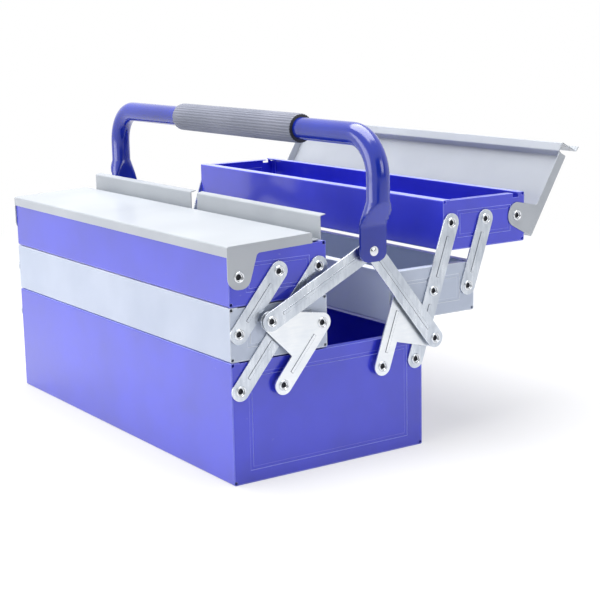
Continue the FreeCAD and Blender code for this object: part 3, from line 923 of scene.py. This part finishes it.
across = Vector((0, 1, 0))
for i in range(BEND_STATIONS + 1):
    turn = math.pi / 2 * i / BEND_STATIONS
    outward = Vector((math.cos(turn), 0, math.sin(turn)))
    bend_middle = Vector((tube_axis - BEND, apex.y, bar_height - BEND))
    angles = [2 * math.pi * k / RAYS for k in range(RAYS)]
    near_rings.append([bend_middle + outward * BEND
                       + (outward * math.cos(angle) + across * math.sin(angle)) * TUBE_RADIUS
                       for angle in angles])
far_rings = [[Vector((-point.x, point.y, point.z)) for point in ring] for ring in near_rings]
print("rings along the handle:", len(near_rings) + len(far_rings))

# %% [markdown]
# The skin of the handle
# Faces between neighbouring rings make the skin, and one face closes each end. A curve with a bevel
# would draw a round tube in fewer lines, but it can't follow the pressed ends. The edges of the flat
# stay sharp, and everything else is shaded smooth.

# %% Handle skin
TUBE_SHARP_ANGLE = math.radians(50)


def loft(name, rings, material):
    """A closed skin through rings of as many points each, with both ends capped."""
    count = len(rings[0])
    points = [point for ring in rings for point in ring]
    faces = [(r * count + k, r * count + (k + 1) % count,
              (r + 1) * count + (k + 1) % count, (r + 1) * count + k)
             for r in range(len(rings) - 1) for k in range(count)]
    faces.append(tuple(reversed(range(count))))
    faces.append(tuple(range(len(points) - count, len(points))))
    mesh = bpy.data.meshes.new(name)
    mesh.from_pydata(points, [], faces)
    mesh.materials.append(material)
    shape = bmesh.new()
    shape.from_mesh(mesh)
    bmesh.ops.recalc_face_normals(shape, faces=shape.faces)
    for face in shape.faces:
        face.smooth = True
    shape.to_mesh(mesh)
    shape.free()
    return new_piece(name, mesh)


tube = loft("handle_tube_fine", near_rings + far_rings[::-1], handle_enamel)
tube.data.set_sharp_from_angle(angle=TUBE_SHARP_ANGLE)
settle(tube, "handle", "handle", "handle_tube")
print(tube.name, len(tube.data.polygons), "faces")

# %% [markdown]
# The ribbed section of the grip
# The grip is a vinyl sleeve with fine ribs along it. Each rib could be a rod on a cylinder, but then
# the ribs would meet the sleeve in seams. A circle whose radius dips with its angle gives one clean
# section: a cosine runs through as many waves as there are ribs, and squaring it narrows the grooves.

# %% Ribbed section
SECTION_POINTS = 352


def ribbed_section(tree, radius, groove, ribs):
    """A circle whose radius dips into a groove between ribs."""
    circle = tree_node(tree, "GeometryNodeCurvePrimitiveCircle",
                       {"Resolution": SECTION_POINTS, "Radius": radius})
    place = tree_node(tree, "GeometryNodeInputPosition").outputs[0]
    parts = tree_node(tree, "ShaderNodeSeparateXYZ", {"Vector": place})
    angle = value_math(tree, "ARCTAN2", parts.outputs["Y"], parts.outputs["X"])
    wave = value_math(tree, "COSINE", value_math(tree, "MULTIPLY", angle, ribs))
    lifted = value_math(tree, "MULTIPLY", value_math(tree, "SUBTRACT", 1.0, wave), 0.5)
    depth = value_math(tree, "MULTIPLY", value_math(tree, "POWER", lifted, 2.0), groove)
    keep = value_math(tree, "SUBTRACT", 1.0, value_math(tree, "DIVIDE", depth, radius))
    scaled = tree_node(tree, "ShaderNodeVectorMath", {"Vector": place, "Scale": keep},
                       operation="SCALE")
    return tree_node(tree, "GeometryNodeSetPosition",
                     {"Geometry": circle.outputs[0], "Position": scaled.outputs[0]})


print("points in the grip's section:", SECTION_POINTS)

# %% [markdown]
# The sleeve
# Curve to Mesh carries the section along the bar. A value on the path, its reach, draws the sleeve in
# at both ends, where it hugs the tube. The end faces are in shadow and take a darker material. They
# are found by their distance from the middle, so they follow the grip when its length changes.

# %% The grip tree
END_DEPTH = 0.5 * millimetre


def make_grip_tree():
    tree, given, out = tree_with("ribbed_sleeve", [
        ("Radius", "NodeSocketFloat"), ("Groove", "NodeSocketFloat"), ("Ribs", "NodeSocketFloat"),
        ("Half Length", "NodeSocketFloat"), ("Middle", "NodeSocketVector"),
        ("Vinyl", "NodeSocketMaterial"), ("End", "NodeSocketMaterial")])
    section = ribbed_section(tree, given.outputs["Radius"], given.outputs["Groove"],
                             given.outputs["Ribs"])
    line = tree_node(tree, "GeometryNodeMeshToCurve", {"Mesh": given.outputs["Geometry"]})
    sleeve = tree_node(tree, "GeometryNodeCurveToMesh", {
        "Curve": line.outputs[0], "Profile Curve": section.outputs[0],
        "Scale": named_value(tree, "reach", "FLOAT"), "Fill Caps": True})
    place = tree_node(tree, "GeometryNodeInputPosition").outputs[0]
    offset = tree_node(tree, "ShaderNodeVectorMath", {0: place, 1: given.outputs["Middle"]},
                       operation="SUBTRACT")
    from_middle = tree_node(tree, "ShaderNodeSeparateXYZ", {"Vector": offset.outputs[0]})
    distance = value_math(tree, "ABSOLUTE", from_middle.outputs["X"])
    rim = value_math(tree, "SUBTRACT", given.outputs["Half Length"], END_DEPTH)
    at_end = tree_node(tree, "FunctionNodeCompare", {0: distance, 1: rim},
                       data_type="FLOAT", operation="GREATER_THAN")
    skin = covered(tree, real_and_smooth(tree, sleeve), given.outputs["Vinyl"])
    whole = covered(tree, skin, given.outputs["End"], at_end.outputs[0])
    feed(tree, out.inputs[0], whole.outputs[0])
    return tree


grip_tree = make_grip_tree()
print(grip_tree.name, "has", len(grip_tree.nodes), "nodes")

# %% [markdown]
# The grip on its bar
# The frame's plain grip says how long and how thick the sleeve is. A path of a few points is enough,
# because the sleeve is straight and only its ends are drawn in. Each station is a distance from the
# end in millimetres, and the share of the radius that the sleeve reaches there.

# %% The grip
grip_low, grip_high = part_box("handle_grip")
grip_middle = (grip_low + grip_high) / 2
grip_half = (grip_high.x - grip_low.x) / 2
GRIP_RADIUS = (grip_high.z - grip_low.z) / 2
HUG_GAP = 0.1 * millimetre
grip_stations = [(0.0, (TUBE_RADIUS + HUG_GAP) / GRIP_RADIUS), (0.15, 0.93), (0.45, 0.965),
                 (1.0, 0.985), (2.2, 1.0)]
grip_sizes = {"Radius": GRIP_RADIUS, "Groove": 0.45 * millimetre, "Ribs": 30.0,
              "Half Length": grip_half, "Middle": grip_middle, "Vinyl": grip_vinyl, "End": grip_end}

path = [(-grip_half + x * millimetre, reach) for x, reach in grip_stations]
path += [(grip_half - x * millimetre, reach) for x, reach in reversed(grip_stations)]
line = bpy.data.meshes.new("handle_grip_fine")
line.from_pydata([(grip_middle.x + x, grip_middle.y, grip_middle.z) for x, reach in path],
                 [(i, i + 1) for i in range(len(path) - 1)], [])
reaches = [reach for x, reach in path]
line.attributes.new("reach", "FLOAT", "POINT").data.foreach_set("value", reaches)
grip = grown(new_piece("handle_grip_fine", line), grip_tree, grip_sizes)
settle(grip, "handle", "grip", "handle_grip")
print(grip.name, len(grip.data.polygons), "faces")

# %% [markdown]
# White without losing the shadow
# In a studio the box stands on white paper, and the paper still shows its shadow. Pure white light
# would hide the shadow, and a plain matt floor would look grey. So the floor is partly bright to the
# camera and to mirrors, and fully bright far from the box. One value tells which rays see it.

# %% Rays that see the backdrop
def seen_share(tree):
    """1 for rays from the camera, mirrors and glass, and 0 for light that only spreads."""
    kind = tree_node(tree, "ShaderNodeLightPath")
    seen = value_math(tree, "MAXIMUM", kind.outputs["Is Camera Ray"], kind.outputs["Is Glossy Ray"])
    return value_math(tree, "MAXIMUM", seen, kind.outputs["Is Transmission Ray"])


def mixed(tree, share, first, second, out):
    """Two shaders mixed by a share, sent to the output."""
    mix = tree_node(tree, "ShaderNodeMixShader", {0: share})
    tree.links.new(first.outputs[0], mix.inputs[1])
    tree.links.new(second.outputs[0], mix.inputs[2])
    tree.links.new(mix.outputs[0], out.inputs["Surface"])


print("backdrop helpers:", seen_share.__name__, mixed.__name__)

# %% [markdown]
# The studio floor
# The floor lies a hair below the box, so that the two never share a plane. It could end behind the
# box in a curved wall, but a very wide flat floor that grows brighter with distance has no edge to
# hide, from any side.

# %% Floor
FLOOR_SIZE = 14.0
FLOOR_GAP = 0.02 * millimetre
FLOOR_GLOW = 0.55
FADE_START = 0.45
FADE_END = 1.3
floor_level = cad_low.z - FLOOR_GAP


def pale_surface(name, colour):
    """A floor material that glows more with distance and keeps the shadow near the box."""
    material = bpy.data.materials.new(name)
    material.use_nodes = True
    tree = material.node_tree
    tree.nodes.clear()
    out = tree.nodes.new("ShaderNodeOutputMaterial")
    matt = tree_node(tree, "ShaderNodeBsdfDiffuse", {"Color": colour})
    light = tree_node(tree, "ShaderNodeEmission", {"Color": WHITE})
    place = tree_node(tree, "ShaderNodeTexCoord").outputs["Object"]
    far = tree_node(tree, "ShaderNodeVectorMath", {0: place}, operation="LENGTH")
    share = spread(tree, far.outputs["Value"], FADE_START, FADE_END, FLOOR_GLOW, 1.0)
    mixed(tree, value_math(tree, "MULTIPLY", seen_share(tree), share), matt, light, out)
    return material


def flat_card(name, corners, material):
    """A flat stage card with its corners in order."""
    mesh = bpy.data.meshes.new(name)
    mesh.from_pydata(corners, [], [tuple(range(len(corners)))])
    mesh.materials.append(material)
    card = new_piece(name, mesh)
    return card


floor_corners = [(x * FLOOR_SIZE, y * FLOOR_SIZE, floor_level)
                 for x, y in ((-1, -1), (1, -1), (1, 1), (-1, 1))]
floor = flat_card("studio_floor", floor_corners, pale_surface("floor_paint", paint(238, 238, 240)))
print(floor.name, "at", round(floor_level / millimetre, 2), "mm")

# %% [markdown]
# Something dark for the metal to mirror
# Plated metal shows only what it mirrors, and in an all white room it looks like paper. A grey card
# stands behind the camera, where the end of the box faces it. A whole dark room could do this, but
# it would also dim the paint. The card is hidden from the camera, so no view from behind shows it.

# %% Card behind the camera
ROOM_DISTANCE = 3.2
ROOM_HALF_WIDTH = 3.0
ROOM_HEIGHT = 2.4
dark_room = bpy.data.materials.new("dark_room")
dark_room.use_nodes = True
dark_room.node_tree.nodes["Principled BSDF"].inputs["Base Color"].default_value = paint(70, 72, 78)
room = flat_card("room_behind_camera", [
    (ROOM_DISTANCE, -ROOM_HALF_WIDTH, floor_level), (ROOM_DISTANCE, ROOM_HALF_WIDTH, floor_level),
    (ROOM_DISTANCE, ROOM_HALF_WIDTH, ROOM_HEIGHT), (ROOM_DISTANCE, -ROOM_HALF_WIDTH, ROOM_HEIGHT)],
    dark_room)
room.visible_camera = False
print(room.name, "stands", ROOM_DISTANCE, "m away")

# %% [markdown]
# Lamps
# A large lamp close to the object gives the soft gradients that gloss paint shows, and a small one
# would give hard spots. One lamp stands low on the left, where the long side mirrors it, one hangs
# above for the lids, and a weak one fills the end. An area lamp is aimed by turning its own -Z axis
# to the target.

# %% Lamps
middle_of_box = Vector((0.0, 0.1, 0.12))


def soft_lamp(name, place, width, height, power):
    """A soft white lamp that looks at the middle of the box. Its power is in watts."""
    lamp = bpy.data.lights.new(name, "AREA")
    lamp.shape = "RECTANGLE"
    lamp.size = width
    lamp.size_y = height
    lamp.energy = power
    holder = new_piece(name, lamp)
    holder.location = place
    holder.rotation_euler = (middle_of_box - Vector(place)).to_track_quat("-Z", "Y").to_euler()
    return holder


lamps = [soft_lamp("left_softbox", (-0.55, -1.45, 0.45), width=1.3, height=0.8, power=12.5),
         soft_lamp("top_softbox", (-0.2, 0.1, 1.6), width=1.6, height=1.6, power=49.0),
         soft_lamp("end_fill", (1.9, 0.5, 0.8), width=0.8, height=0.8, power=9.0)]
print("lamps:", ", ".join(lamp.name for lamp in lamps))

# %% [markdown]
# The air of the studio
# The background is white to the camera and to mirrors. If it also lit the box at full strength, the
# lamps would draw nothing on it, so it spreads only a weak even light. A picture of a room could do
# both, but it would bring colours of its own.

# %% World
AIR_STRENGTH = 0.30
world = bpy.data.worlds.new("studio_air")
bpy.context.scene.world = world
world.use_nodes = True
air = world.node_tree
air.nodes.clear()
air_out = air.nodes.new("ShaderNodeOutputWorld")
dim = tree_node(air, "ShaderNodeBackground", {"Color": WHITE, "Strength": AIR_STRENGTH})
bright = tree_node(air, "ShaderNodeBackground", {"Color": WHITE})
mixed(air, seen_share(air), dim, bright, air_out)
print(world.name, "lights the box at", AIR_STRENGTH)

# %% [markdown]
# Camera
# The viewing angle was found by fitting a camera to the corners and rivets of the box. It could be
# given as a matrix, but a turn round the object, a rise, a small roll, a distance and a focal length
# say what each number does.

# %% Camera
AZIMUTH = math.radians(56.28)
ELEVATION = math.radians(11.40)
ROLL = math.radians(-1.20)
CAMERA_DISTANCE = 1.4787
CAMERA_TARGET = Vector((0.0, 0.1132, 0.0982))
SENSOR_WIDTH = 36.0
FOCAL_LENGTH = 86.556
upright = Vector((0, 0, 1))
back = Vector((math.sin(AZIMUTH) * math.cos(ELEVATION), -math.cos(AZIMUTH) * math.cos(ELEVATION),
               math.sin(ELEVATION)))
level_right = (-back).cross(upright).normalized()
level_up = level_right.cross(-back).normalized()
right_hand = level_right * math.cos(ROLL) + level_up * math.sin(ROLL)
up_hand = level_up * math.cos(ROLL) - level_right * math.sin(ROLL)
lens = bpy.data.cameras.new("photo_camera")
lens.sensor_width = SENSOR_WIDTH
lens.lens = FOCAL_LENGTH
camera = new_piece("photo_camera", lens)
turned_axes = Matrix((right_hand, up_hand, back)).transposed().to_4x4()
camera.matrix_world = Matrix.Translation(CAMERA_TARGET + back * CAMERA_DISTANCE) @ turned_axes
bpy.context.scene.camera = camera
bpy.context.scene.view_settings.view_transform = "Standard"
print("the camera stands at", [round(number, 2) for number in camera.matrix_world.translation])
